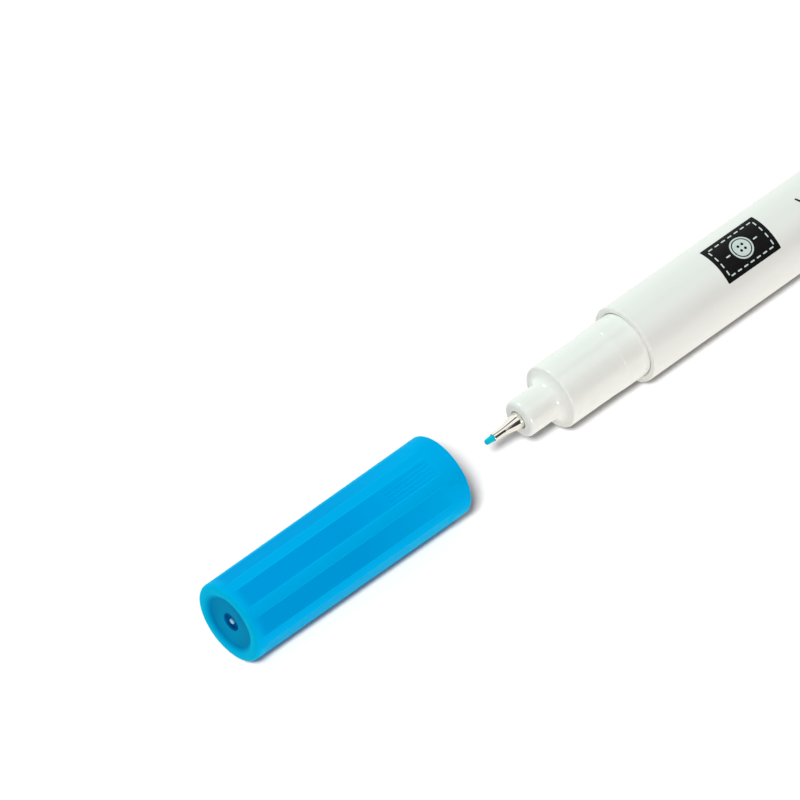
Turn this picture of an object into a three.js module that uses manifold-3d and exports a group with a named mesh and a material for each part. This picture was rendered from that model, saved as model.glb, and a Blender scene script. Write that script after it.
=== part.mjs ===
// Water-soluble fabric marker: a white fibre-tip pen with its faceted blue cap pulled off and laid
// in line ahead of the nib. Millimetres, +Z up. The pen lies along X with its nib towards -X.
// The origin is under the middle of pen and cap, on the surface that they lie on.

import * as THREE from "three";
import { mergeVertices } from "three/addons/utils/BufferGeometryUtils.js";
import Module from "manifold-3d";

const wasm = await Module();
wasm.setup();

// Clearances
const PRESS_CLEARANCE = 0.06; // radial room left at each pressed-in plug and shank
const SEAT_GAP = 0.3; // end room between a piece and the shoulder that it seats on
const CAP_CLEARANCE = 0.1; // radial room between the cap's bore and the land that it grips
const SEAL_CLEARANCE = 0.1; // radial room between the cap's inner sleeve and the seal spigot
const NIB_FIT = 0.03; // radial room round the nib in the ferrule and in the reservoir
const GUIDE_CLEARANCE = 0.15; // radial room round the nib in its guide tube
const RIB_CLEARANCE = 0.06; // radial room between the barrel's inner ribs and the film
const FILM_CLEARANCE = 0.03; // radial room between the film and the fibre

// Facets: one facet lies flat underneath, so the pen doesn't roll
const PEN_SIDES = 32;
const EDGE_STEPS = 3;

// Barrel: an injection-moulded tube, open at both ends
const BARREL_LENGTH = 105.5;
const BARREL_RADIUS = 4.75;
const BARREL_TAPER = 0.1; // radius lost from the front to the rear
const BARREL_WALL = 0.75;
const BARREL_EDGE = 0.3;
const RIB_COUNT = 6; // inner ribs that centre the ink reservoir
const RIB_HEIGHT = 0.5;
const RIB_WIDTH = 0.7;
const RIB_ROOT = 0.3; // how far a rib's root reaches into the barrel's wall

// Grip section: pressed into the barrel, with a spigot in front that the cap seals on
const SECTION_LENGTH = 11.4;
const SECTION_EDGE = 0.3;
const SECTION_FACE = 0.12; // width of the flat ring between that edge and the spigot's root
const SECTION_WALL = 0.85;
const SECTION_FRONT_WALL = 1.2; // between the ferrule's seat and the hollow behind it
const LAND_LENGTH = 3.2; // the slightly larger stretch by the barrel that the cap grips
const LAND_RISE = 0.07; // how far the land stands proud of the section
const LAND_SLOPE = 0.22; // length of the step up to it
const INSERT_LENGTH = 9; // the hidden stretch inside the barrel
const INSERT_CHAMFER = 0.5;
const SEAL_LENGTH = 4.85;
const SEAL_RADIUS = 2.25;
const SEAL_EDGE = 0.5;
const GUIDE_LENGTH = 4; // inner tube that steadies the nib behind the front wall
const GUIDE_WALL = 0.9;

// Metal ferrule: a drawn tube with a cone and a shank
const FERRULE_SETBACK = 0.2; // how far the cone's wide end sits inside the spigot
const SHANK_LENGTH = 5;
const SHANK_RADIUS = 1.04;
const CONE_LENGTH = 2.6;
const TUBE_LENGTH = 1.4;
const FERRULE_WALL = 0.09;

// Nib: a thin extruded rod that runs from the tip back into the reservoir
const NIB_RADIUS = 0.4;
const NIB_TIP_RADIUS = 0.34; // the exposed end is ground down to this
const NIB_EDGE = 0.26;
const NIB_EXPOSED = 1.1;
const NIB_SOAKED = 6; // length inside the reservoir

// Film round the ink reservoir
const FILM_THICKNESS = 0.12;
const FILM_SETBACK = 0.5; // how far the film stops short of the fibre's ends

// Rear plug
const PLUG_FLANGE = 1.2;
const PLUG_EDGE = 0.3;
const PLUG_INSERT = 6;
const PLUG_CHAMFER = 0.5;
const PLUG_WALL = 0.85;
const PLUG_FLOOR = 1;
const PLUG_POST_RADIUS = 1.2; // the post holds the reservoir forward
const PLUG_POST_LENGTH = 7.2;

// Cap: eight long flats that run out into a round collar at the mouth
const CAP_LENGTH = 31.25;
const CAP_LAID_GAP = 6.65; // from the nib's tip to the cap's mouth, as the two lie
const CAP_WALL = 0.92; // at the mouth
const CAP_DRAFT = 0.13; // outer radius lost from the mouth to the closed end
const CAP_MOUTH_EDGE = 0.3;
const CAP_MOUTH_CHAMFER = 0.25;
const CAP_END_EDGE = 0.45;
const CAP_END_WALL = 1.1;
const CAP_BORE_DRAFT = 0.06; // radius that the bore loses towards the sleeve's seat
const CAP_BORE_CORNER = 0.5;
const CAP_COLLAR_LENGTH = 2.2;
const FLAT_COUNT = 8;
const FLAT_ANGLE = 30; // degrees round the axis that each flat takes
const FLAT_FIRST = 16.6; // degrees from the top of the cap to the first flat's middle
const FLAT_STEPS = 4;
const LAND_STEPS = 2;
const RUNOUT_LENGTH = 1.3; // over which a flat fades out at each of its ends
const RUNOUT_STEPS = 4;
const RECESS_RIM = 1.0; // width of the rim round the dished closed end
const RECESS_DEPTH = 0.4;
const RECESS_LIP = 0.9; // radius that rolls the rim down into the recess
const DIMPLE_RADIUS = 1.1;
const DIMPLE_DEPTH = 0.5;
const GATE_RADIUS = 0.34;
const GATE_HEIGHT = 0.42;
const GRIP_RIB_COUNT = 5; // fine ribs on the first flat, by the mouth
const GRIP_RIB_PITCH = 0.48;
const GRIP_RIB_WIDTH = 0.24;
const GRIP_RIB_HEIGHT = 0.07;
const GRIP_RIB_ROOT = 0.3; // how far a rib's root reaches into the cap's wall
const GRIP_RIB_LENGTH = 6.6;
const GRIP_RIB_SETBACK = 0.65; // from the collar

// Inner sleeve of the cap: a soft cup that closes over the nib
const SLEEVE_WALL = 0.6;
const SLEEVE_FLANGE = 0.6;
const SLEEVE_FLANGE_GAP = 0.15; // end room between the flange and its ledge
const SLEEVE_LEDGE = 0.35; // width of the ledge in the cap's bore that carries the flange
const SLEEVE_END_RADIUS = 1.4;
const SLEEVE_NIB_ROOM = 1.4; // air between the nib's tip and the sleeve's end
const SLEEVE_LEAD = 0.3;

// Places along the pen's axis, counted from the barrel's front face
const sectionFront = -SECTION_LENGTH;
const sealFront = sectionFront - SEAL_LENGTH;
const coneRear = sealFront + FERRULE_SETBACK;
const shankRear = coneRear + SHANK_LENGTH;
const coneFront = coneRear - CONE_LENGTH;
const tubeFront = coneFront - TUBE_LENGTH;
const nibTip = tubeFront - NIB_EXPOSED;
const plugFront = BARREL_LENGTH - PLUG_INSERT;
const plugFace = BARREL_LENGTH + SEAT_GAP;
const plugCupFloor = plugFace - PLUG_FLOOR;
const postFront = plugCupFloor - PLUG_POST_LENGTH;
const reservoirFront = INSERT_LENGTH + SEAT_GAP;
const reservoirRear = postFront - SEAT_GAP;
const nibRear = reservoirFront + NIB_SOAKED;
const capMouth = nibTip - CAP_LAID_GAP;

// Radii that one piece takes from another
const bore = BARREL_RADIUS - BARREL_WALL;
const barrelRearRadius = BARREL_RADIUS - BARREL_TAPER;
const insertRadius = bore - PRESS_CLEARANCE;
const sectionRadius = insertRadius - LAND_RISE;
const sealRoot = sectionRadius - SECTION_EDGE - SECTION_FACE - SEAL_RADIUS; // hollow curve at its foot
const ferruleBore = NIB_RADIUS + NIB_FIT;
const filmRadius = bore - RIB_HEIGHT - RIB_CLEARANCE;
const capBore = insertRadius + CAP_CLEARANCE;
const seatBore = capBore - CAP_BORE_DRAFT;
const capOpenRadius = capBore + CAP_WALL;
const recessRadius = capOpenRadius - CAP_DRAFT - RECESS_RIM;
const sleeveBore = SEAL_RADIUS + SEAL_CLEARANCE;

// Places inside the cap, counted from its mouth
const sleeveMouth = SECTION_LENGTH + sealRoot + SEAT_GAP;
const sleeveSealEnd = -sealFront + SEAT_GAP;
const sleeveEnd = -nibTip + SLEEVE_NIB_ROOM;

const material = (name, color, roughness, metalness = 0) =>
  new THREE.MeshStandardMaterial({ name, color, roughness, metalness, flatShading: true });

const whitePlastic = material("white_polypropylene", 0xe6ebe6, 0.35);
const bluePlastic = material("blue_polypropylene", 0x00a5e4, 0.25);
const softPlastic = material("natural_polyethylene", 0xe4ecee, 0.5);
const steel = material("polished_steel", 0xc9c6bf, 0.15, 1);
const tipFibre = material("inked_acetal", 0x00bcd6, 0.5);
const inkFibre = material("inked_fibre", 0x2aa7cf, 0.9);
const clearFilm = material("clear_film", 0xdfeef2, 0.2);

// Points [axial, radius] of a rounded edge between two directions, in degrees.
function arc(axial, radius, size, from, to) {
  const points = [];
  for (let i = 0; i <= EDGE_STEPS; i++) {
    const a = THREE.MathUtils.degToRad(from + ((to - from) * i) / EDGE_STEPS);
    points.push([axial + size * Math.cos(a), radius + size * Math.sin(a)]);
  }
  return points;
}

// Drops the attributes and the collapsed triangles that keep a lathe from being one closed surface.
function sealed(geometry) {
  geometry.deleteAttribute("normal");
  geometry.deleteAttribute("uv");
  const merged = mergeVertices(geometry, 1e-4);
  const kept = [];
  for (let i = 0; i < merged.index.count; i += 3) {
    const [a, b, c] = [0, 1, 2].map((k) => merged.index.getX(i + k));
    if (a !== b && b !== c && c !== a) kept.push(a, b, c);
  }
  merged.setIndex(kept);
  return merged;
}

// Turns an [axial, radius] profile about the X axis. Angles run from +Z towards -Y.
function revolve(profile, sides = PEN_SIDES, start = Math.PI / sides) {
  const points = profile.map(([axial, radius]) => new THREE.Vector2(radius, axial));
  const turned = new THREE.LatheGeometry(points, sides, start);
  return sealed(turned.rotateZ(-Math.PI / 2));
}

function toSolid(geometry) {
  return new wasm.Manifold(
    new wasm.Mesh({
      numProp: 3,
      vertProperties: new Float32Array(geometry.attributes.position.array),
      triVerts: new Uint32Array(geometry.index.array),
    }),
  );
}

function toGeometry(solid) {
  const { vertProperties, triVerts } = solid.getMesh();
  return new THREE.BufferGeometry()
    .setAttribute("position", new THREE.BufferAttribute(vertProperties, 3))
    .setIndex(new THREE.BufferAttribute(triVerts, 1));
}

function named(name, geometry, surface) {
  const mesh = new THREE.Mesh(geometry, surface);
  mesh.name = name;
  return mesh;
}

function barrel() {
  const tube = revolve([
    [0, bore],
    ...arc(BARREL_EDGE, BARREL_RADIUS - BARREL_EDGE, BARREL_EDGE, 180, 90),
    [BARREL_LENGTH, barrelRearRadius],
    [BARREL_LENGTH, bore],
    [0, bore],
  ]);
  let solid = toSolid(tube);
  const front = INSERT_LENGTH + SEAT_GAP;
  const length = plugFront - SEAT_GAP - front;
  const height = RIB_HEIGHT + RIB_ROOT;
  for (let i = 0; i < RIB_COUNT; i++) {
    const rib = new THREE.BoxGeometry(length, RIB_WIDTH, height)
      .translate(front + length / 2, 0, bore - RIB_HEIGHT + height / 2)
      .rotateX((i * 2 * Math.PI) / RIB_COUNT);
    solid = solid.add(toSolid(sealed(rib)));
  }
  return named("barrel", toGeometry(solid), whitePlastic);
}

function gripSection() {
  const guideBore = NIB_RADIUS + GUIDE_CLEARANCE;
  const shankBore = SHANK_RADIUS + PRESS_CLEARANCE;
  const shankSeat = shankRear + SEAT_GAP;
  const hollow = sectionRadius - SECTION_WALL;
  const hollowFront = shankSeat + SECTION_FRONT_WALL;
  const profile = [
    [sealFront, shankBore],
    ...arc(sealFront + SEAL_EDGE, SEAL_RADIUS - SEAL_EDGE, SEAL_EDGE, 180, 90),
    ...arc(sectionFront - sealRoot, SEAL_RADIUS + sealRoot, sealRoot, 270, 360),
    ...arc(sectionFront + SECTION_EDGE, sectionRadius - SECTION_EDGE, SECTION_EDGE, 180, 90),
    [-LAND_LENGTH - LAND_SLOPE, sectionRadius],
    [-LAND_LENGTH, insertRadius],
    [INSERT_LENGTH - INSERT_CHAMFER, insertRadius],
    [INSERT_LENGTH, insertRadius - INSERT_CHAMFER / 2],
    [INSERT_LENGTH, hollow],
    [hollowFront, hollow],
    [hollowFront, guideBore + GUIDE_WALL],
    [hollowFront + GUIDE_LENGTH, guideBore + GUIDE_WALL],
    [hollowFront + GUIDE_LENGTH, guideBore],
    [shankSeat, guideBore],
    [shankSeat, shankBore],
    [sealFront, shankBore],
  ];
  return named("grip_section", revolve(profile), whitePlastic);
}

function ferrule() {
  const tubeRadius = ferruleBore + FERRULE_WALL;
  const shankBore = SHANK_RADIUS - 2 * FERRULE_WALL; // thicker than the drawn tube
  const profile = [
    [tubeFront, ferruleBore],
    [tubeFront, tubeRadius - FERRULE_WALL / 2],
    [tubeFront + FERRULE_WALL, tubeRadius],
    [coneFront, tubeRadius],
    [coneRear, SHANK_RADIUS],
    [shankRear, SHANK_RADIUS],
    [shankRear, shankBore],
    [coneRear, shankBore],
    [coneFront, ferruleBore],
    [tubeFront, ferruleBore],
  ];
  return named("tip_ferrule", revolve(profile), steel);
}

function nib() {
  const profile = [
    [nibTip, 0],
    ...arc(nibTip + NIB_EDGE, NIB_TIP_RADIUS - NIB_EDGE, NIB_EDGE, 180, 90),
    [tubeFront, NIB_RADIUS],
    [nibRear, NIB_RADIUS],
    [nibRear, 0],
  ];
  return named("nib", revolve(profile), tipFibre);
}

function inkReservoir() {
  const radius = filmRadius - FILM_THICKNESS - FILM_CLEARANCE;
  const hole = NIB_RADIUS + NIB_FIT;
  const profile = [
    [nibRear + SEAT_GAP, 0],
    [nibRear + SEAT_GAP, hole],
    [reservoirFront, hole],
    [reservoirFront, radius],
    [reservoirRear, radius],
    [reservoirRear, 0],
  ];
  return named("ink_reservoir", revolve(profile), inkFibre);
}

function reservoirFilm() {
  const inner = filmRadius - FILM_THICKNESS;
  const front = reservoirFront + FILM_SETBACK;
  const rear = reservoirRear - FILM_SETBACK;
  const profile = [
    [front, inner],
    [front, filmRadius],
    [rear, filmRadius],
    [rear, inner],
    [front, inner],
  ];
  return named("reservoir_film", revolve(profile), clearFilm);
}

function rearPlug() {
  const end = plugFace + PLUG_FLANGE;
  const cup = insertRadius - PLUG_WALL;
  const profile = [
    [postFront, 0],
    [postFront, PLUG_POST_RADIUS],
    [plugCupFloor, PLUG_POST_RADIUS],
    [plugCupFloor, cup],
    [plugFront, cup],
    [plugFront, insertRadius - PLUG_CHAMFER / 2],
    [plugFront + PLUG_CHAMFER, insertRadius],
    [plugFace, insertRadius],
    [plugFace, barrelRearRadius],
    ...arc(end - PLUG_EDGE, barrelRearRadius - PLUG_EDGE, PLUG_EDGE, 90, 0),
    [end, 0],
  ];
  return named("rear_plug", revolve(profile), bluePlastic);
}

// Radius of the cap's lands at a distance from the mouth.
function capLand(depth) {
  return capOpenRadius - (CAP_DRAFT * depth) / CAP_LENGTH;
}

// Share of the full flat at a distance from the mouth: none on the collar and on the end's edge.
function flatShare(depth) {
  const fromCollar = (depth - CAP_COLLAR_LENGTH) / RUNOUT_LENGTH;
  const fromEnd = (CAP_LENGTH - CAP_END_EDGE - depth) / RUNOUT_LENGTH;
  return THREE.MathUtils.smoothstep(Math.min(fromCollar, fromEnd), 0, 1);
}

// Pulls the outside of a turned cap in to its flats. The rings lie at depth = -x.
function pressFlats(geometry) {
  const half = THREE.MathUtils.degToRad(FLAT_ANGLE / 2);
  const turn = (2 * Math.PI) / FLAT_COUNT;
  const first = THREE.MathUtils.degToRad(FLAT_FIRST);
  const at = geometry.attributes.position;
  for (let i = 0; i < at.count; i++) {
    const radius = Math.hypot(at.getY(i), at.getZ(i));
    const land = capLand(-at.getX(i));
    if (radius < land - 1e-3) continue;
    const angle = Math.atan2(-at.getY(i), at.getZ(i)) - first;
    const off = angle - turn * Math.round(angle / turn);
    if (Math.abs(off) > half) continue;
    const chord = (land * Math.cos(half)) / Math.cos(off);
    const k = (land + (chord - land) * flatShare(-at.getX(i))) / radius;
    at.setXYZ(i, at.getX(i), at.getY(i) * k, at.getZ(i) * k);
  }
  return geometry;
}

// Points of the cap's outside from the closed end to the mouth, with rings where the flats run out.
function capOutside() {
  const edgeDepth = CAP_LENGTH - CAP_END_EDGE;
  const edgeCentre = capLand(edgeDepth) - CAP_END_EDGE;
  const fade = Array.from({ length: RUNOUT_STEPS + 1 }, (_, i) => (i * RUNOUT_LENGTH) / RUNOUT_STEPS);
  const rings = [
    ...fade.map((d) => edgeDepth - d),
    ...fade.map((d) => CAP_COLLAR_LENGTH + d).reverse(),
  ];
  return [
    ...arc(-edgeDepth, edgeCentre, CAP_END_EDGE, 180, 90),
    ...rings.map((depth) => [-depth, capLand(depth)]),
    ...arc(-CAP_MOUTH_EDGE, capOpenRadius - CAP_MOUTH_EDGE, CAP_MOUTH_EDGE, 90, 0),
  ];
}

function gripRibs() {
  const half = THREE.MathUtils.degToRad(FLAT_ANGLE / 2);
  const flat = capLand(CAP_COLLAR_LENGTH) * Math.cos(half);
  const height = GRIP_RIB_HEIGHT + GRIP_RIB_ROOT;
  const middle = CAP_COLLAR_LENGTH + GRIP_RIB_SETBACK + GRIP_RIB_LENGTH / 2;
  const ribs = [];
  for (let i = 0; i < GRIP_RIB_COUNT; i++) {
    const across = (i - (GRIP_RIB_COUNT - 1) / 2) * GRIP_RIB_PITCH;
    const rib = new THREE.BoxGeometry(GRIP_RIB_LENGTH, GRIP_RIB_WIDTH, height)
      .translate(-middle, across, flat + GRIP_RIB_HEIGHT - height / 2)
      .rotateX(THREE.MathUtils.degToRad(FLAT_FIRST));
    ribs.push(toSolid(sealed(rib)));
  }
  return ribs;
}

function capShell() {
  const recess = CAP_LENGTH - RECESS_DEPTH;
  const lipTurn = THREE.MathUtils.radToDeg(Math.acos(1 - RECESS_DEPTH / RECESS_LIP));
  const dimple = recess - DIMPLE_DEPTH;
  const boreEnd = dimple - CAP_END_WALL;
  const ledge = sleeveMouth + SLEEVE_FLANGE + SLEEVE_FLANGE_GAP;
  const innerBore = seatBore - SLEEVE_LEDGE;
  const profile = [
    [-dimple - GATE_HEIGHT, 0],
    [-dimple - GATE_HEIGHT, GATE_RADIUS],
    [-dimple, GATE_RADIUS],
    [-dimple, DIMPLE_RADIUS],
    [-recess, DIMPLE_RADIUS],
    ...arc(-CAP_LENGTH + RECESS_LIP, recessRadius, RECESS_LIP, 180 + lipTurn, 180),
    ...capOutside(),
    [0, capBore + CAP_MOUTH_CHAMFER],
    [-CAP_MOUTH_CHAMFER, capBore],
    [-ledge, seatBore],
    [-ledge, innerBore],
    [-boreEnd + CAP_BORE_CORNER, innerBore],
    [-boreEnd, innerBore - CAP_BORE_CORNER],
    [-boreEnd, 0],
  ];
  const sides = FLAT_COUNT * (FLAT_STEPS + LAND_STEPS);
  const start = THREE.MathUtils.degToRad(FLAT_FIRST - FLAT_ANGLE / 2);
  let solid = toSolid(pressFlats(revolve(profile, sides, start)));
  for (const rib of gripRibs()) solid = solid.add(rib);
  return named("cap_shell", toGeometry(solid), bluePlastic);
}

function capSleeve() {
  const flange = seatBore - PRESS_CLEARANCE;
  const outer = sleeveBore + SLEEVE_WALL;
  const profile = [
    [-sleeveEnd - SLEEVE_WALL, 0],
    [-sleeveEnd - SLEEVE_WALL, SLEEVE_END_RADIUS + SLEEVE_WALL],
    [-sleeveSealEnd - SLEEVE_WALL, outer],
    [-sleeveMouth - SLEEVE_FLANGE, outer],
    [-sleeveMouth - SLEEVE_FLANGE, flange],
    [-sleeveMouth, flange],
    [-sleeveMouth, sleeveBore + SLEEVE_LEAD],
    [-sleeveMouth - SLEEVE_LEAD, sleeveBore],
    [-sleeveSealEnd, sleeveBore],
    [-sleeveEnd, SLEEVE_END_RADIUS],
    [-sleeveEnd, 0],
  ];
  return named("cap_sleeve", revolve(profile), softPlastic);
}

const pen = new THREE.Group();
pen.add(barrel(), gripSection(), ferrule(), nib(), inkReservoir(), reservoirFilm(), rearPlug());

const cap = new THREE.Group();
cap.position.x = capMouth;
cap.add(capShell(), capSleeve());

const marker = new THREE.Group();
marker.add(pen, cap);
const box = new THREE.Box3().setFromObject(marker, true);
marker.position.set(-(box.min.x + box.max.x) / 2, 0, -box.min.z);

export default marker;
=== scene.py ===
"""Water-soluble fabric marker: a white fibre-tip pen, with its faceted blue cap laid ahead of the nib.

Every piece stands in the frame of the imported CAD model, in metres: the marker's axis runs along X,
the nib points to -X and the marker lies on the plane Z = 0.
"""

from __future__ import annotations
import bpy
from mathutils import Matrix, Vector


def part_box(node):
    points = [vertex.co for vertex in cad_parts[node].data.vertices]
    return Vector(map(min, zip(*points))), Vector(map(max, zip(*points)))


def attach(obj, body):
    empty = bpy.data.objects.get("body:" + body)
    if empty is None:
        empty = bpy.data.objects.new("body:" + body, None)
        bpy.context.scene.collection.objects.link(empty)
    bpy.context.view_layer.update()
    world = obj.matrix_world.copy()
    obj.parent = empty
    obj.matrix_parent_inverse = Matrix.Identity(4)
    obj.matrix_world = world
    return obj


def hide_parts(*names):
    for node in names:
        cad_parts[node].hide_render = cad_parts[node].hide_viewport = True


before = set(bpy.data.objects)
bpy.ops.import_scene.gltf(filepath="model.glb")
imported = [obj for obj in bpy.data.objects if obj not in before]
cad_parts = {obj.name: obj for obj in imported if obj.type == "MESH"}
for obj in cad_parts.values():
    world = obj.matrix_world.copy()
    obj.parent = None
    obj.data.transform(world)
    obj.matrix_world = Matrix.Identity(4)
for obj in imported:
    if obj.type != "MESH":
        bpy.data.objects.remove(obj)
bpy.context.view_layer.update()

import logging
import math
from collections.abc import Callable, Mapping, Sequence
from dataclasses import dataclass
from enum import Enum
from typing import Any

import bmesh
import bpy
from mathutils import Vector

MM = 0.001
TURNED_SIDES = 160
SMALL_SIDES = 72  # for the thin metal tube and the nib
ARC_STEPS = 7
SHARP_ANGLE = math.radians(35)
POLE_RADIUS = 1e-7  # a point nearer the axis than this is one vertex
HAIR = 1e-6  # keeps two points that would meet just apart
DISC_SIDES = 48
LIP_STEPS = 14

Profile = list[tuple[float, float]]
Outline = list[tuple[float, float]]
Socket = bpy.types.NodeSocket

log = logging.getLogger("marker")


class Body(Enum):
    """The two bodies that move against each other."""

    PEN = "pen"
    CAP = "cap"


class Mask(Enum):
    """Vertex values that paint light and shade into the cap's colour: paler lands, highlights on the
    flats' edges, a paler rim on the closed end, shade in its recess and dimple, and a highlight on the
    gate.
    """

    PAINTED_PALE_LAND = "land"
    PAINTED_RIDGE_HIGHLIGHT = "ridge"
    PAINTED_RIM_LIGHT = "rim"
    PAINTED_RECESS_SHADE = "recess"
    PAINTED_DIMPLE_SHADE = "dimple"
    PAINTED_GATE_HIGHLIGHT = "gate"


class MouldSurface(Enum):
    """How the mould's wall was finished, which the moulded plastic copies."""

    POLISHED = "polished"
    SPARK_ERODED = "spark eroded"


# Colour, nodes and meshes


def linear(colour: str) -> tuple[float, float, float, float]:
    """Turns an sRGB hex colour to linear light.

    Args:
        colour: the colour as "#rrggbb".

    Returns:
        Red, green, blue and an alpha of 1.
    """
    shares = [int(colour[i : i + 2], 16) / 255 for i in (1, 3, 5)]
    red, green, blue = (
        s / 12.92 if s <= 0.04045 else ((s + 0.055) / 1.055) ** 2.4 for s in shares
    )
    return red, green, blue, 1.0


def add_node(
    tree: bpy.types.NodeTree,
    kind: str,
    inputs: Mapping[int | str, Any] | None = None,
    **settings: Any,
) -> bpy.types.Node:
    """Adds a node with its settings, its values and its links.

    Args:
        tree: the node tree that gets the node.
        kind: Blender's name for the node.
        inputs: a value or an output socket for each input, by name or place.
        **settings: the node's own properties.

    Returns:
        The new node.
    """
    node = tree.nodes.new(kind)
    for name, value in settings.items():
        setattr(node, name, value)
    for key, value in (inputs or {}).items():
        if isinstance(value, Socket):
            tree.links.new(value, node.inputs[key])
        else:
            node.inputs[key].default_value = value
    return node


def combine(tree: bpy.types.NodeTree, operation: str, first: Any, second: Any) -> Socket:
    """Joins two values by a mathematical operation."""
    return add_node(tree, "ShaderNodeMath", {0: first, 1: second}, operation=operation).outputs[0]


def rounded(
    axial: float, radius: float, size: float, start: float, end: float
) -> Profile:
    """Points of a rounded edge in a turned profile.

    Args:
        axial: the round's centre along the axis.
        radius: the centre's distance from the axis.
        size: the round's own radius.
        start: the direction of the first point in degrees, 0 along +X and 90 outwards.
        end: the direction of the last point.

    Returns:
        The points from start to end.
    """
    points = []
    for i in range(ARC_STEPS + 1):
        turn = math.radians(start + (end - start) * i / ARC_STEPS)
        points.append((axial + size * math.cos(turn), radius + size * math.sin(turn)))
    return points


def smoothstep(value: float) -> float:
    """Eases 0..1 with a level start and end, and holds it outside."""
    share = min(max(value, 0.0), 1.0)
    return share * share * (3 - 2 * share)


def full_turn(sides: int) -> list[float]:
    """Evenly spaced angles round the axis, in radians."""
    return [2 * math.pi * i / sides for i in range(sides)]


@dataclass(frozen=True)
class Axis:
    """The marker's axis, which pen and cap share.

    Angles round it run from +Z towards -Y, the side that the camera sees.
    """

    height: float

    def point(self, x: float, radius: float, angle: float) -> Vector:
        """The point at a place along the axis, a radius and an angle."""
        return Vector(
            (x, -radius * math.sin(angle), self.height + radius * math.cos(angle))
        )

    def turn(
        self,
        name: str,
        profile: Profile,
        angles: Sequence[float],
        shape: Callable[[float, float, float], float] | None = None,
    ) -> bpy.types.Object:
        """Turns a profile into one closed mesh with smooth faces and sharp corners.

        Args:
            name: the piece's name.
            profile: points (x, radius), from the axis back to it, or round a closed loop.
            angles: the angles of the mesh's corners round the axis.
            shape: gives the radius at x, radius and angle where the piece isn't round.

        Returns:
            The new object.
        """
        closed = profile[0] == profile[-1]
        points = profile[:-1] if closed else profile
        mesh = bmesh.new()
        rings = []
        for x, radius in points:
            if radius < POLE_RADIUS:
                rings.append([mesh.verts.new(self.point(x, 0, 0))])
                continue
            radii = [shape(x, radius, a) if shape else radius for a in angles]
            rings.append(
                [mesh.verts.new(self.point(x, r, a)) for r, a in zip(radii, angles)]
            )
        bridge(mesh, rings, closed)
        return finish_mesh(name, mesh)


def bridge(mesh: bmesh.types.BMesh, rings: list[list[bmesh.types.BMVert]], closed: bool) -> None:
    """Joins each ring of vertices to the next with faces.

    Args:
        mesh: the mesh that gets the faces.
        rings: the rings, where a ring of one vertex closes the surface to a point.
        closed: whether the last ring joins to the first.
    """
    followers = rings[1:] + (rings[:1] if closed else [])
    for first, second in zip(rings, followers):
        count = max(len(first), len(second))
        for i in range(count):
            j = (i + 1) % count
            corners = dict.fromkeys(
                [
                    first[i % len(first)],
                    first[j % len(first)],
                    second[j % len(second)],
                    second[i % len(second)],
                ]
            )
            if len(corners) > 2:
                mesh.faces.new(corners)


def finish_mesh(name: str, mesh: bmesh.types.BMesh) -> bpy.types.Object:
    """Turns a bmesh into a smooth-shaded object whose corners stay sharp.

    Args:
        name: the object's name.
        mesh: the mesh, which is freed.

    Returns:
        The new object, linked to the scene.
    """
    bmesh.ops.recalc_face_normals(mesh, faces=mesh.faces)
    data = bpy.data.meshes.new(name)
    mesh.to_mesh(data)
    mesh.free()
    data.shade_smooth()
    data.set_sharp_from_angle(angle=SHARP_ANGLE)
    piece = bpy.data.objects.new(name, data)
    bpy.context.scene.collection.objects.link(piece)
    even = piece.modifiers.new("even_normals", "WEIGHTED_NORMAL")
    even.keep_sharp = True
    return piece


def place(
    piece: bpy.types.Object,
    body: Body,
    material: bpy.types.Material,
    nodes: Sequence[str] = (),
) -> bpy.types.Object:
    """Dresses a piece and ties it to the body that carries it.

    Args:
        piece: the new piece.
        body: the body that it moves with.
        material: its finish.
        nodes: the CAD nodes that it stands for.

    Returns:
        The piece.
    """
    piece.data.materials.append(material)
    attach(piece, body.value)
    if nodes:
        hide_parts(*nodes)
    log.info("%s: %d faces on %s", piece.name, len(piece.data.polygons), body.value)
    return piece


# Finishes


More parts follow.
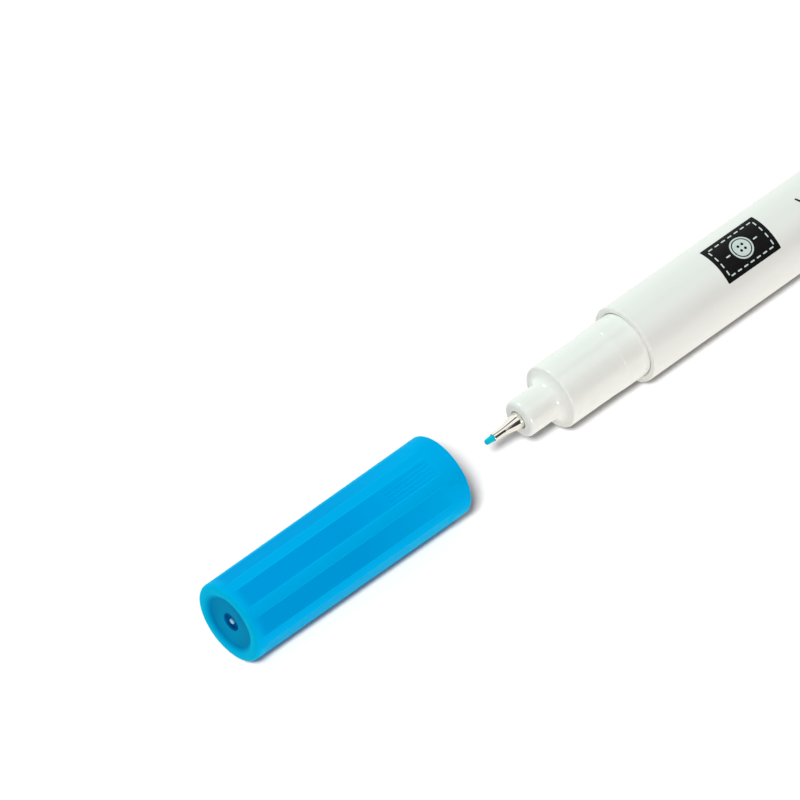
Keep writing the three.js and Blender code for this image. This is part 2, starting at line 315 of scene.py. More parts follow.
class Bench:
    """A new material, and the steps that the finishes share."""

    def __init__(self, name: str) -> None:
        """Makes the material with an empty node tree.

        Args:
            name: the material's name.
        """
        self.material = bpy.data.materials.new(name)
        self.material.use_nodes = True
        self.tree = self.material.node_tree
        self.tree.nodes.clear()
        self.place_on_piece = add_node(self.tree, "ShaderNodeTexCoord").outputs["Object"]

    def noise(self, size: float, detail: float, along: float = 1.0, turn: float = 0.0) -> Socket:
        """Makes noise that stays on its piece.

        Args:
            size: how wide its features are, in metres.
            detail: its levels of finer detail.
            along: the share of its scale along X, which draws it out to streaks below 1.
            turn: the streaks' angle from X.

        Returns:
            The noise, from 0 to 1.
        """
        drawn_out = add_node(
            self.tree,
            "ShaderNodeMapping",
            {
                "Vector": self.place_on_piece,
                "Rotation": (0.0, 0.0, turn),
                "Scale": (along, 1.0, 1.0),
            },
        ).outputs[0]
        inputs = {"Vector": drawn_out, "Scale": 1 / size, "Detail": detail}
        return add_node(self.tree, "ShaderNodeTexNoise", inputs).outputs[0]

    def spread(self, value: Socket, low: float, high: float) -> Socket:
        """Maps 0..1 to low..high."""
        ends = {"Value": value, "To Min": low, "To Max": high}
        return add_node(self.tree, "ShaderNodeMapRange", ends).outputs[0]

    def pick(self, value: Socket, start: float, end: float) -> Socket:
        """Maps start..end to 0..1, and holds it outside."""
        ends = {"Value": value, "From Min": start, "From Max": end}
        return add_node(self.tree, "ShaderNodeMapRange", ends).outputs[0]

    def mix(self, share: Socket, first: Any, second: Any) -> Socket:
        """Mixes two colours, the second one's part being the share."""
        inputs = {0: share, 6: first, 7: second}
        return add_node(self.tree, "ShaderNodeMix", inputs, data_type="RGBA").outputs[2]

    def relief(self, height: Socket, distance: float) -> Socket:
        """The normals of a relief whose full height is the distance."""
        inputs = {"Height": height, "Distance": distance}
        return add_node(self.tree, "ShaderNodeBump", inputs).outputs[0]

    def finish(self, inputs: Mapping[int | str, Any]) -> bpy.types.Material:
        """Gives the material its shader.

        Args:
            inputs: a value or an output socket for each of the shader's inputs.

        Returns:
            The finished material.
        """
        shader = add_node(self.tree, "ShaderNodeBsdfPrincipled", inputs)
        add_node(self.tree, "ShaderNodeOutputMaterial", {"Surface": shader.outputs[0]})
        return self.material


@dataclass(frozen=True)
class MouldedPlastic:
    """Injection-moulded polypropylene or polyethylene: satin, a little milky, and evenly coloured."""

    name: str
    colour: str
    surface: MouldSurface
    roughness: float
    gloss_level: float = 0.5
    specular_tint: str = "#ffffff"
    haze: float = 0.0
    haze_roughness: float = 0.4
    haze_tint: str = "#ffffff"
    milkiness: float = 0.0
    light_depth: float = 0.8 * MM
    # colours painted over masked areas, which stand for light and shade
    areas: tuple[tuple[Mask, str], ...] = ()
    flow_size: float = 4.0 * MM
    flow_contrast: float = 0.012
    grain_size: float = 0.14 * MM
    scuff_width: float = 0.16 * MM
    scuff_slant: float = 0.35
    scuff_stretch: float = 0.06
    scuff_share: tuple[float, float] = (0.62, 0.78)
    scuff_depth: float = 0.001 * MM
    scuff_dullness: float = 0.08

    def grain_height(self) -> float:
        """Height of the surface's grain, which the mould's finish sets."""
        if self.surface is MouldSurface.SPARK_ERODED:
            return 0.0035 * MM
        return 0.0012 * MM

    def base_colour(self, bench: Bench, flow: Socket) -> Socket:
        """Colour with the painted light and shade of its masked areas, where it has any, and the faint
        clouds that plastic keeps from flowing into its mould.

        Args:
            bench: the material's bench.
            flow: the noise that gives the clouds.

        Returns:
            The colour's socket.
        """
        colour: Any = linear(self.colour)
        # Masked areas get colours that paint light and shade; only the cap's moulding carries the masks.
        for mask, other in self.areas:
            area = add_node(bench.tree, "ShaderNodeAttribute", attribute_name=mask.value)
            colour = bench.mix(area.outputs["Fac"], colour, linear(other))
        clouds = bench.spread(flow, 1 - self.flow_contrast, 1 + self.flow_contrast)
        inputs = {"Value": clouds, "Color": colour}
        return add_node(bench.tree, "ShaderNodeHueSaturation", inputs).outputs[0]

    def material(self) -> bpy.types.Material:
        """Builds the material.

        Returns:
            Satin plastic with mould grain, flow clouds and the light scuffs of a used pen.
        """
        bench = Bench(self.name)
        flow = bench.noise(self.flow_size, detail=3.0)
        grain = bench.noise(self.grain_size, detail=2.0)
        # Handling leaves scuffs a few micrometres wide along the pen. They are drawn some ten
        # times as wide, so that they show at all in a view of the whole marker.
        streaks = bench.noise(self.scuff_width, 4.0, self.scuff_stretch, self.scuff_slant)
        scuffs = bench.pick(streaks, *self.scuff_share)
        gloss = bench.spread(flow, self.roughness - 0.03, self.roughness + 0.05)
        worn_gloss = add_node(
            bench.tree,
            "ShaderNodeMath",
            {0: scuffs, 1: self.scuff_dullness, 2: gloss},
            operation="MULTIPLY_ADD",
        ).outputs[0]
        grained = bench.relief(grain, self.grain_height())
        scuffed = add_node(
            bench.tree,
            "ShaderNodeBump",
            {"Height": scuffs, "Distance": self.scuff_depth, "Normal": grained},
            invert=True,
        ).outputs[0]
        return bench.finish(
            {
                "Base Color": self.base_colour(bench, flow),
                "Roughness": worn_gloss,
                "IOR": 1.49,
                "Specular IOR Level": self.gloss_level,
                "Specular Tint": linear(self.specular_tint),
                "Sheen Weight": self.haze,
                "Sheen Roughness": self.haze_roughness,
                "Sheen Tint": linear(self.haze_tint),
                "Subsurface Weight": self.milkiness,
                "Subsurface Radius": (1.0, 1.0, 1.0),
                "Subsurface Scale": self.light_depth,
                "Normal": scuffed,
            }
        )


@dataclass(frozen=True)
class DrawnSteel:
    """Stainless steel drawn to a thin tube and polished: it mirrors the room in long stripes."""

    name: str = "drawn_polished_stainless_steel"
    colour: str = "#f6f2ea"
    roughness: tuple[float, float] = (0.04, 0.11)
    draw_line: float = 0.035 * MM
    line_depth: float = 0.0006 * MM
    smudge_size: float = 0.9 * MM

    def material(self) -> bpy.types.Material:
        """Builds the material.

        Returns:
            Bright metal with fine lines along the way that it was drawn.
        """
        bench = Bench(self.name)
        lines = bench.noise(self.draw_line, detail=3.0, along=0.03)
        smudges = bench.noise(self.smudge_size, detail=2.0)
        return bench.finish(
            {
                "Base Color": linear(self.colour),
                "Metallic": 1.0,
                "Roughness": bench.spread(smudges, *self.roughness),
                "Normal": bench.relief(lines, self.line_depth),
            }
        )


@dataclass(frozen=True)
class Fibre:
    """Parallel fibres that hold ink by suction: matt, with a fine streak along the length."""

    name: str
    colour: str
    dry_colour: str
    fibre_width: float
    relief: float
    roughness: float = 0.62
    dry_share: tuple[float, float] = (0.35, 0.7)

    def material(self) -> bpy.types.Material:
        """Builds the material.

        Returns:
            Matt fibre whose ink is a little stronger in some fibres than in others.
        """
        bench = Bench(self.name)
        strands = bench.noise(self.fibre_width, detail=3.0, along=0.05)
        dry = bench.pick(strands, *self.dry_share)
        return bench.finish(
            {
                "Base Color": bench.mix(dry, linear(self.colour), linear(self.dry_colour)),
                "Roughness": self.roughness,
                "IOR": 1.45,
                "Specular Tint": linear(self.dry_colour),
                "Normal": bench.relief(strands, self.relief),
            }
        )


@dataclass(frozen=True)
class PrintInk:
    """Screen-printed ink: a thin opaque film, glossier or duller by the patch."""

    name: str
    colour: str
    thin_colour: str
    roughness: float = 0.34
    gloss_level: float = 0.15
    patch_size: float = 0.6 * MM
    patch_depth: float = 0.002 * MM
    thin_share: tuple[float, float] = (0.45, 0.85)

    def material(self) -> bpy.types.Material:
        """Builds the material.

        Returns:
            Opaque ink with the mesh's faint unevenness.
        """
        bench = Bench(self.name)
        patches = bench.noise(self.patch_size, detail=4.0)
        thin = bench.pick(patches, *self.thin_share)
        return bench.finish(
            {
                "Base Color": bench.mix(thin, linear(self.colour), linear(self.thin_colour)),
                "Roughness": bench.spread(patches, self.roughness - 0.05, self.roughness + 0.1),
                "IOR": 1.5,
                "Specular IOR Level": self.gloss_level,
                "Normal": bench.relief(patches, self.patch_depth),
            }
        )


@dataclass(frozen=True)
class ClearFilm:
    """Clear polyester film shrunk round the ink fibre: thin, with lengthwise creases."""

    name: str = "clear_polyester_film"
    colour: str = "#e8f3f6"
    crease: float = 0.5 * MM
    crease_depth: float = 0.02 * MM
    roughness: tuple[float, float] = (0.08, 0.22)

    def material(self) -> bpy.types.Material:
        """Builds the material.

        Returns:
            Clear glossy film with soft creases.
        """
        bench = Bench(self.name)
        creases = bench.noise(self.crease, detail=2.0, along=0.1)
        return bench.finish(
            {
                "Base Color": linear(self.colour),
                "Roughness": bench.spread(creases, *self.roughness),
                "IOR": 1.5,
                "Transmission Weight": 0.9,
                "Normal": bench.relief(creases, self.crease_depth),
            }
        )


# Opaque polypropylene from a spark-eroded mould: satin, so the barrel's edges catch no sharp line.
WHITE_POLYPROPYLENE = MouldedPlastic(
    name="white_moulded_polypropylene",
    colour="#efefec",
    surface=MouldSurface.SPARK_ERODED,
    roughness=0.3,
)
# The same resin with less pigment from a polished mould: glossier, and light soaks in at its edges.
SECTION_POLYPROPYLENE = MouldedPlastic(
    name="natural_white_polypropylene",
    colour="#f1f2ee",
    surface=MouldSurface.POLISHED,
    roughness=0.15,
    milkiness=0.15,
    light_depth=0.5 * MM,
)
# Tinted, half-clear polypropylene, injection moulded. Its colour carries painted light and shade: the
# lands, ribs and closed end's rim are painted paler than the flats, the mouth end paler for light through
# the empty bore, the flats' edges get painted highlight lines, the end's recess and dimple painted shade,
# and the gate nub a painted highlight.
BLUE_POLYPROPYLENE = MouldedPlastic(
    name="blue_moulded_polypropylene",
    colour="#009ce2",
    # Every area colour below is painted light or shade, not a colour of the plastic.
    areas=(
        (Mask.PAINTED_PALE_LAND, "#00adee"),
        (Mask.PAINTED_RIM_LIGHT, "#00b4e6"),
        (Mask.PAINTED_RECESS_SHADE, "#0085be"),
        (Mask.PAINTED_DIMPLE_SHADE, "#0064a8"),
        (Mask.PAINTED_GATE_HIGHLIGHT, "#a8dcf8"),
        (Mask.PAINTED_RIDGE_HIGHLIGHT, "#00bcf6"),
    ),
    surface=MouldSurface.POLISHED,
    roughness=0.25,
    gloss_level=0.004,
    specular_tint="#20c8ff",
    haze=1.0,
    haze_tint="#00dcff",
)
# Natural polyethylene without pigment: milky and dull, with soft edges.
SOFT_POLYETHYLENE = MouldedPlastic(
    name="natural_moulded_polyethylene",
    colour="#e9f0f2",
    surface=MouldSurface.SPARK_ERODED,
    roughness=0.45,
    milkiness=0.3,
)
# Thin stainless tube, drawn and polished: it mirrors its surroundings in stripes along its length.
STEEL = DrawnSteel()
# Acetal extruded with fine capillaries and wet with ink: matt, with faint lengthwise streaks.
NIB_FIBRE = Fibre(
    name="inked_acetal_fibre",
    colour="#00b9d6",
    dry_colour="#10cfe6",
    fibre_width=0.05 * MM,
    relief=0.006 * MM,
)
# Polyester fibre bonded to a rod and soaked with ink: a soft, matt bundle of fine strands.
INK_FIBRE = Fibre(
    name="inked_polyester_fibre",
    colour="#1f9fd0",
    dry_colour="#7cc7e6",
    fibre_width=0.09 * MM,
    relief=0.02 * MM,
    roughness=0.8,
)
# Screen-printed ink, cured on the barrel: an opaque film, a shade duller than the plastic round it.
BLACK_INK = PrintInk(name="black_screen_ink", colour="#050505", thin_colour="#0f1010", roughness=0.5)
PALE_INK = PrintInk(name="pale_screen_ink", colour="#d3dedc", thin_colour="#c3d0ce")
# Polyester film, shrunk on: clear and glossy, with soft creases along it.
FILM = ClearFilm()


# The pen


@dataclass
class Barrel:
    """The white barrel: a moulded tube with a flat ring for a front face."""

    axis: Axis
    front: float
    rear: float
    radius: float = 4.75 * MM
    taper: float = 0.1 * MM
    bore: float = 3.955 * MM
    edge: float = 0.12 * MM
    bore_edge: float = 0.2 * MM
    rear_edge: float = 0.12 * MM

    def radius_at(self, x: float) -> float:
        """Radius of the tapered outside at a place along the axis."""
        return self.radius - self.taper * (x - self.front) / (self.rear - self.front)

    def build(self) -> bpy.types.Object:
        """Makes the tube.

        Returns:
            The barrel, which stands for its CAD node.
        """
        rear_radius = self.radius - self.taper
        start = self.front + self.edge
        end = self.rear - self.rear_edge
        profile = [
            (self.front + self.bore_edge, self.bore),
            (self.front, self.bore + self.bore_edge),
            *rounded(start, self.radius - self.edge, self.edge, 180, 90),
            *rounded(end, rear_radius - self.rear_edge, self.rear_edge, 90, 0),
            (self.rear, self.bore),
            (self.front + self.bore_edge, self.bore),
        ]
        tube = self.axis.turn("barrel_tube", profile, full_turn(TURNED_SIDES))
        return place(
            tube, Body.PEN, WHITE_POLYPROPYLENE.material(), ["barrel"]
        )


@dataclass
class PrintedLabel:
    """The print on the barrel: a block with a button in a frame of running stitches, then a zigzag stitch.

    It takes the place and size of the real print. Lengths run along the barrel from the block's
    front edge, and widths run round it from its middle.
    """

    axis: Axis
    barrel: Barrel
    setback: float = 12.67 * MM
    length: float = 8.1 * MM
    width: float = 5.2 * MM
    middle_angle: float = math.radians(15.1)
    corner: float = 0.12 * MM
    spacing: float = 0.3 * MM
    ground_lift: float = 0.014 * MM
    motif_lift: float = 0.024 * MM
    hole_lift: float = 0.032 * MM
    film_depth: float = 0.05 * MM
    frame_inset: float = 0.62 * MM
    stitch_length: float = 0.62 * MM
    stitch_gap: float = 0.34 * MM
    stitch_width: float = 0.17 * MM
    button_radius: float = 1.42 * MM
    button_rim: float = 0.2 * MM
    button_groove: float = 0.14 * MM
    hole_radius: float = 0.17 * MM
    hole_offset: float = 0.3 * MM
    zigzag_start: float = 13.4 * MM
    zigzag_step: float = 0.96 * MM
    zigzag_height: float = 2.4 * MM
    zigzag_width: float = 0.25 * MM
    zigzag_gap: float = 0.2 * MM
    zigzag_count: int = 36

    def bar(
        self,
        middle: tuple[float, float],
        size: tuple[float, float],
        corner: float,
        slant: float = 0.0,
    ) -> Outline:
        """Outline of a bar with rounded corners.

        Args:
            middle: the bar's middle, along and round the barrel.
            size: its length and width.
            corner: the radius of its corners.
            slant: the angle from the barrel's length to the bar's.

        Returns:
            Points round the bar, no further apart than the label's spacing.
        """
        half = (size[0] / 2 - corner, size[1] / 2 - corner)
        way = complex(math.cos(slant), math.sin(slant))
        corners = [(1, 1), (-1, 1), (-1, -1), (1, -1)]
        points: Outline = []
        for quarter, (u_side, v_side) in enumerate(corners):
            for step in range(4):
                turn = math.radians(90 * quarter + 30 * step)
                u = u_side * half[0] + corner * math.cos(turn)
                v = v_side * half[1] + corner * math.sin(turn)
                turned = complex(u, v) * way
                points.append((middle[0] + turned.real, middle[1] + turned.imag))
        return self.filled_in(points)

    def filled_in(self, corners: Outline) -> Outline:
        """Adds points to an outline's long sides, so that it can follow the barrel's curve.

        Args:
            corners: the outline's corners.

        Returns:
            The corners with points between them, no further apart than the label's spacing.
        """
        points: Outline = []
        for (u0, v0), (u1, v1) in zip(corners, corners[1:] + corners[:1]):
            pieces = max(1, math.ceil(math.dist((u0, v0), (u1, v1)) / self.spacing))
            points += [
                (u0 + (u1 - u0) * i / pieces, v0 + (v1 - v0) * i / pieces)
                for i in range(pieces)
            ]
        return points

    def disc(self, middle: tuple[float, float], radius: float) -> Outline:
        """Outline of a disc, its points close enough to look round."""
        return [
            (middle[0] + radius * math.cos(a), middle[1] + radius * math.sin(a))
            for a in full_turn(DISC_SIDES)
        ]

    def add_film(
        self, mesh: bmesh.types.BMesh, outline: Outline, lift: float, inner: float = 0.0
    ) -> None:
        """Adds one closed patch of ink that lies on the barrel.

        Args:
            mesh: the mesh that gets the patch.
            outline: the patch's edge, which its middle can see all of.
            lift: how far its top stands off the barrel.
            inner: where the patch is a ring, the share of the outline that its hole has.
        """
        u_mid = sum(u for u, _ in outline) / len(outline)
        v_mid = sum(v for _, v in outline) / len(outline)
        reach = max(math.dist(p, (u_mid, v_mid)) for p in outline)
        steps = max(1, math.ceil(reach * (1 - inner) / self.spacing))
        shares = [1 - (1 - inner) * i / steps for i in range(steps + 1)]

        def ring(share: float, off: float) -> list[bmesh.types.BMVert]:
            """Makes one ring of vertices.

            Args:
                share: the share that the outline is shrunk to.
                off: the ring's distance off the barrel.

            Returns:
                The ring, or one vertex where the share is nothing.
            """
            points = [(0.0, 0.0)] if share < 1e-9 else [(u - u_mid, v - v_mid) for u, v in outline]
            made = []
            for u, v in points:
                x = self.barrel.front + self.setback + u_mid + share * u
                radius = self.barrel.radius_at(x)
                angle = self.middle_angle + (v_mid + share * v) / radius
                made.append(mesh.verts.new(self.axis.point(x, radius + off, angle)))
            return made

        top = [ring(share, lift) for share in shares]
        bottom = [ring(share, lift - self.film_depth) for share in reversed(shares)]
        bridge(mesh, top + bottom, closed=True)

    def stitches(self) -> list[Outline]:
        """Lays out the stitches.

        Returns:
            Outlines of the frame's stitches, and of one on each side of the button.
        """
        pitch = self.stitch_length + self.stitch_gap
        frame_length = self.length - 2 * self.frame_inset
        frame_width = self.width - 2 * self.frame_inset
        along = round(frame_length / pitch)
        across = round(frame_width / pitch)
        found = []
        for i in range(along):
            u = self.frame_inset + (i + 0.5) * frame_length / along
            for side in (-1, 1):
                found.append(((u, side * frame_width / 2), (self.stitch_length, self.stitch_width)))
        for i in range(across):
            v = (i + 0.5) * frame_width / across - frame_width / 2
            for u in (self.frame_inset, self.length - self.frame_inset):
                found.append(((u, v), (self.stitch_width, self.stitch_length)))
        reach = self.button_radius + self.stitch_gap + self.stitch_length / 2
        for side in (-1, 1):
            u = self.length / 2 + side * reach
            found.append(((u, 0.0), (self.stitch_length, self.stitch_width)))
        corner = self.stitch_width / 2 - HAIR
        return [self.bar(middle, size, corner) for middle, size in found]

    def zigzag(self) -> list[Outline]:
        """Lays out the zigzag stitch, which runs on along the barrel behind the block.

        Returns:
            Outlines of its strokes.
        """
        stroke = math.hypot(self.zigzag_step, self.zigzag_height) - self.zigzag_gap
        slant = math.atan2(self.zigzag_height, self.zigzag_step)
        size = (stroke, self.zigzag_width)
        corner = self.zigzag_width / 2 - HAIR
        strokes = []
        for i in range(self.zigzag_count):
            middle = (self.zigzag_start + (i + 0.5) * self.zigzag_step, 0.0)
            strokes.append(self.bar(middle, size, corner, -slant if i % 2 else slant))
        return strokes

    def build(self) -> list[bpy.types.Object]:
        """Makes the block, its motif and the zigzag stitch.

        Returns:
            The dark ground, the pale motif, the button's dark holes and the zigzag stitch.
        """
        middle = (self.length / 2, 0.0)
        ground = bmesh.new()
        self.add_film(ground, self.bar(middle, (self.length, self.width), self.corner), self.ground_lift)
        motif = bmesh.new()
        for outline in self.stitches():
            self.add_film(motif, outline, self.motif_lift)
        rim = self.disc(middle, self.button_radius)
        self.add_film(motif, rim, self.motif_lift, 1 - self.button_rim / self.button_radius)
        centre_radius = self.button_radius - self.button_rim - self.button_groove
        self.add_film(motif, self.disc(middle, centre_radius), self.motif_lift)
        holes = bmesh.new()
        for u_side in (-1, 1):
            for v_side in (-1, 1):
                at = (middle[0] + u_side * self.hole_offset, v_side * self.hole_offset)
                self.add_film(holes, self.disc(at, self.hole_radius), self.hole_lift)
        zigzag = bmesh.new()
        for outline in self.zigzag():
            self.add_film(zigzag, outline, self.ground_lift)
        black = BLACK_INK.material()
        return [
            place(finish_mesh("print_ground", ground), Body.PEN, black),
            place(finish_mesh("print_motif", motif), Body.PEN, PALE_INK.material()),
            place(finish_mesh("print_button_holes", holes), Body.PEN, black),
            place(finish_mesh("print_zigzag", zigzag), Body.PEN, black),
        ]


@dataclass
class GripSection:
    """The section in front of the barrel, with the spigot that the cap seals on."""

    axis: Axis
    front: float
    barrel_front: float
    rear: float
    seal_length: float = 4.85 * MM
    seal_radius: float = 2.25 * MM
    seal_edge: float = 0.5 * MM
    seal_root: float = 1.2 * MM
    radius: float = 3.87 * MM
    edge: float = 0.2 * MM
    land_length: float = 3.2 * MM
    land_radius: float = 3.94 * MM
    land_slope: float = 1.6 * MM
    land_nick: float = 0.022 * MM
    land_nick_length: float = 0.05 * MM
    insert_chamfer: float = 0.5 * MM
    hollow_radius: float = 3.02 * MM
    hollow_start: float = 6.7 * MM
    shank_bore: float = 1.1 * MM
    shank_depth: float = 5.5 * MM
    guide_bore: float = 0.55 * MM
    bore_edge: float = 0.05 * MM

    def land_step(self) -> Profile:
        """Shapes the start of the land that the cap grips.

        Returns:
            Points of a long faint slope and the small nick at its top.
        """
        start = self.barrel_front - self.land_length
        rise = self.land_radius - self.land_nick - self.radius
        slope = [
            (start - self.land_slope * (1 - i / 8), self.radius + rise * smoothstep(i / 8))
            for i in range(9)
        ]
        nick = [
            (
                start + self.land_nick_length * i / 4,
                self.land_radius - self.land_nick * (1 - smoothstep(i / 4)),
            )
            for i in range(1, 5)
        ]
        return slope + nick

    def build(self) -> bpy.types.Object:
        """Makes the section.

        Returns:
            The section, which stands for its CAD node.
        """
        shoulder = self.front + self.seal_length
        profile = [
            (self.front + self.bore_edge, self.shank_bore),
            (self.front, self.shank_bore + self.bore_edge),
            *rounded(
                self.front + self.seal_edge, self.seal_radius - self.seal_edge, self.seal_edge, 180, 90
            ),
            *rounded(
                shoulder - self.seal_root, self.seal_radius + self.seal_root, self.seal_root, 270, 360
            ),
            *rounded(shoulder + self.edge, self.radius - self.edge, self.edge, 180, 90),
            *self.land_step(),
            (self.rear - self.insert_chamfer, self.land_radius),
            (self.rear, self.land_radius - self.insert_chamfer / 2),
            (self.rear, self.hollow_radius),
            (self.front + self.hollow_start, self.hollow_radius),
            (self.front + self.hollow_start, self.guide_bore),
            (self.front + self.shank_depth, self.guide_bore),
            (self.front + self.shank_depth, self.shank_bore),
            (self.front + self.bore_edge, self.shank_bore),
        ]
        section = self.axis.turn("grip_section_moulding", profile, full_turn(TURNED_SIDES))
        return place(
            section,
            Body.PEN,
            SECTION_POLYPROPYLENE.material(),
            ["grip_section"],
        )


@dataclass
class WritingPoint:
    """The drawn steel ferrule, and the fibre nib that it holds."""

    axis: Axis
    ferrule_front: float
    ferrule_rear: float
    nib_tip: float
    nib_rear: float
    tube_length: float = 1.4 * MM
    cone_length: float = 2.6 * MM
    tube_radius: float = 0.52 * MM
    shank_radius: float = 1.04 * MM
    wall: float = 0.09 * MM
    lip: float = 0.04 * MM
    bend: float = 0.25 * MM
    nib_radius: float = 0.4 * MM
    nib_tip_radius: float = 0.34 * MM
    nib_edge: float = 0.26 * MM

    def bent(self, x: float, radius: float, slope: float, sign: int) -> Profile:
        """Points of a soft bend between the cone and a straight stretch.

        Args:
            x: where the two would meet in a corner.
            radius: the corner's radius.
            slope: the cone's rise per length.
            sign: 1 where the cone starts at the corner, -1 where it ends there.

        Returns:
            Points from one tangent to the other.
        """
        points = []
        for i in range(ARC_STEPS + 1):
            share = i / ARC_STEPS
            offset = self.bend * (2 * share - 1)
            lifted = share * share if sign > 0 else 1 - (1 - share) ** 2
            rise = slope * self.bend * (lifted if sign > 0 else lifted - 1)
            points.append((x + offset, radius + rise))
        return points

    def build(self) -> list[bpy.types.Object]:
        """Makes the ferrule and the nib.

        Returns:
            Both pieces, which stand for their CAD nodes.
        """
        cone_front = self.ferrule_front + self.tube_length
        cone_rear = cone_front + self.cone_length
        slope = (self.shank_radius - self.tube_radius) / self.cone_length
        bore = self.tube_radius - self.wall
        shank_bore = self.shank_radius - 2 * self.wall
        outside = [
            *rounded(self.ferrule_front + self.lip, self.tube_radius - self.lip, self.lip, 180, 90),
            *self.bent(cone_front, self.tube_radius, slope, 1),
            (cone_rear, self.shank_radius),
            (self.ferrule_rear, self.shank_radius),
        ]
        inside = [
            (self.ferrule_rear, shank_bore),
            (cone_rear, shank_bore),
            (cone_front, bore),
            (self.ferrule_front + self.lip, bore),
        ]
        profile = [inside[-1], *outside, *inside]
        ferrule = self.axis.turn("ferrule_tube", profile, full_turn(SMALL_SIDES))
        nib_profile = [
            (self.nib_tip, 0.0),
            *rounded(
                self.nib_tip + self.nib_edge, self.nib_tip_radius - self.nib_edge, self.nib_edge, 180, 90
            ),
            (self.ferrule_front, self.nib_radius),
            (self.nib_rear, self.nib_radius),
            (self.nib_rear, 0.0),
        ]
        nib = self.axis.turn("nib_rod", nib_profile, full_turn(SMALL_SIDES))
        return [
            place(ferrule, Body.PEN, STEEL.material(), ["tip_ferrule"]),
            place(nib, Body.PEN, NIB_FIBRE.material(), ["nib"]),
        ]


@dataclass
class InkStore:
    """The ink reservoir and its film, which stay inside the barrel and keep their CAD shapes."""

    fibre_node: str = "ink_reservoir"
    film_node: str = "reservoir_film"

    def dress(self) -> None:
        """Gives both CAD nodes their finishes."""
        finishes = {self.fibre_node: INK_FIBRE.material(), self.film_node: FILM.material()}
        for name, material in finishes.items():
            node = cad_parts[name]
            node.data.materials.clear()
            node.data.materials.append(material)
            log.info("%s: dressed as %s", name, material.name)


@dataclass
class RearPlug:
    """The blue plug that closes the barrel's rear."""

    axis: Axis
    post_front: float
    rear: float
    flange: float = 1.2 * MM
    edge: float = 0.3 * MM
    flange_radius: float = 4.65 * MM
    insert_radius: float = 3.94 * MM
    insert_length: float = 6.3 * MM
    chamfer: float = 0.5 * MM
    wall: float = 0.85 * MM
    floor: float = 1.0 * MM
    post_radius: float = 1.2 * MM
    flange_corner: float = 0.08 * MM
    gate_radius: float = 0.7 * MM
    gate_depth: float = 0.12 * MM

    def build(self) -> bpy.types.Object:
        """Makes the plug.

        Returns:
            The plug, which stands for its CAD node.
        """
        face = self.rear - self.flange
        front = face - self.insert_length
        cup = self.insert_radius - self.wall
        profile = [
            (self.post_front, 0.0),
            (self.post_front, self.post_radius),
            (face - self.floor, self.post_radius),
            (face - self.floor, cup),
            (front, cup),
            (front, self.insert_radius - self.chamfer / 2),
            (front + self.chamfer, self.insert_radius),
            (face, self.insert_radius),
            (face, self.flange_radius - self.flange_corner),
            (face + self.flange_corner, self.flange_radius),
            *rounded(self.rear - self.edge, self.flange_radius - self.edge, self.edge, 90, 0),
            (self.rear, self.gate_radius),
            (self.rear - self.gate_depth, self.gate_radius - self.gate_depth),
            (self.rear - self.gate_depth, 0.0),
        ]
        plug = self.axis.turn("rear_plug_moulding", profile, full_turn(TURNED_SIDES))
        return place(
            plug, Body.PEN, BLUE_POLYPROPYLENE.material(), ["rear_plug"]
        )


# The cap


